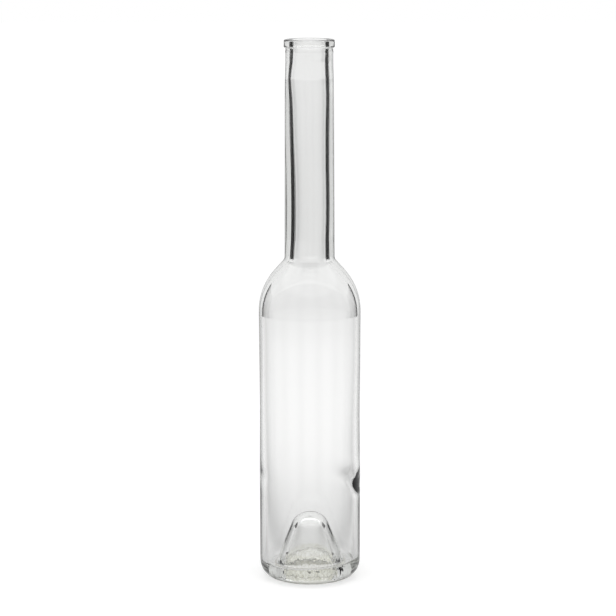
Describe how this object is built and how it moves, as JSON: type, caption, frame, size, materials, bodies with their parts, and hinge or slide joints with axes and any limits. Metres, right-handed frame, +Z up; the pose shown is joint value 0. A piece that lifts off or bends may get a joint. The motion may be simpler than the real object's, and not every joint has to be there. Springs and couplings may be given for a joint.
{
  "type": "glass bottle",
  "caption": "Slim clear glass bottle with a long straight neck, low collar at the mouth, round shoulder, straight body and a deep conical push-up in its base.",
  "frame": {"origin": "on the bottle's axis, in the plane that its bearing ring stands on", "axes": "+Z up along the axis, from the base to the mouth; the faint mould seams lie at +X and -X"},
  "size_m": [0.0576, 0.0576, 0.308],
  "materials": {
    "clear_glass": "clear, smooth, fire-polished glass"
  },
  "bodies": {
    "root": {"bottle": "clear_glass"}
  },
  "joints": []
}
